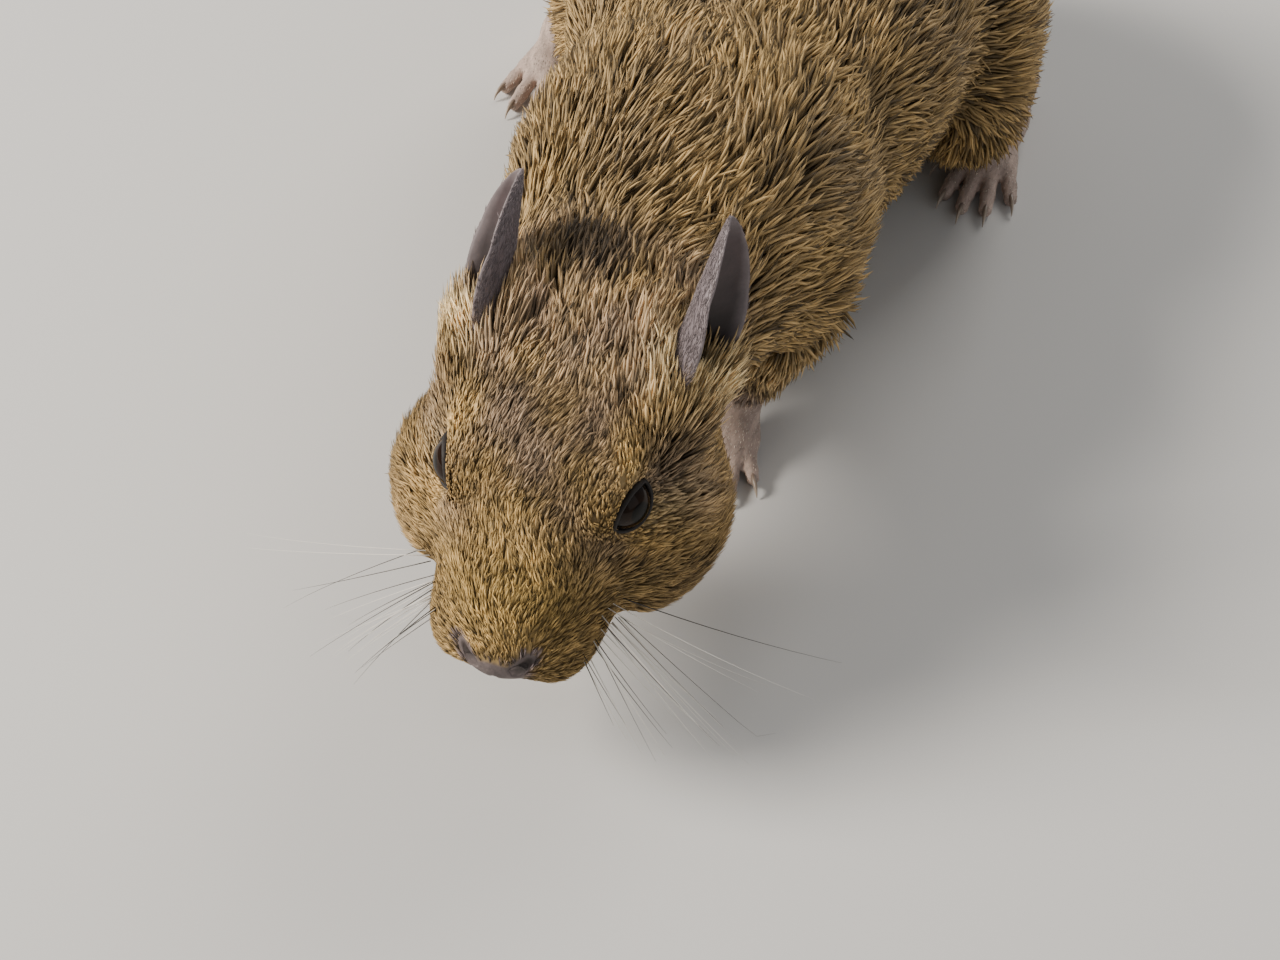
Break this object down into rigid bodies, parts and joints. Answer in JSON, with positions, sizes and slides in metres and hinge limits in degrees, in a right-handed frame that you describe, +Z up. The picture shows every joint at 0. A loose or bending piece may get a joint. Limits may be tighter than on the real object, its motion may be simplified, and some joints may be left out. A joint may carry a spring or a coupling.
{
  "type": "degu",
  "caption": "Life-size degu crouched on all four feet, head reached forward and down, with cupped ears, clawed toes and a brush-tipped tail laid on the floor.",
  "frame": {"origin": "on the floor, under the middle of the whole animal's box", "axes": "+Z is up and the floor is z = 0; the animal faces -Y and its own left side is +X; the tail points to +Y"},
  "size_m": [0.0876, 0.2752, 0.0609],
  "materials": {
    "fur": "short ticked coat, matt with a soft sheen",
    "ear_skin": "thin matt skin with sparse fine hair",
    "bare_skin": "matt skin with sparse pale hair",
    "tail_skin": "scaly skin under short stiff hair",
    "brush_hair": "black bristly hair",
    "eye": "wet gloss"
  },
  "bodies": {
    "root": {"torso": "fur", "neck": "fur", "head": "fur", "ear_left": "ear_skin", "ear_right": "ear_skin", "eye_left": "eye", "eye_right": "eye", "foreleg_left": "fur", "foreleg_right": "fur", "forefoot_left": "bare_skin", "forefoot_right": "bare_skin", "hindleg_left": "fur", "hindleg_right": "fur", "hindfoot_left": "bare_skin", "hindfoot_right": "bare_skin", "tail_base": "tail_skin", "tail_middle": "tail_skin", "tail_end": "brush_hair"}
  },
  "joints": []
}
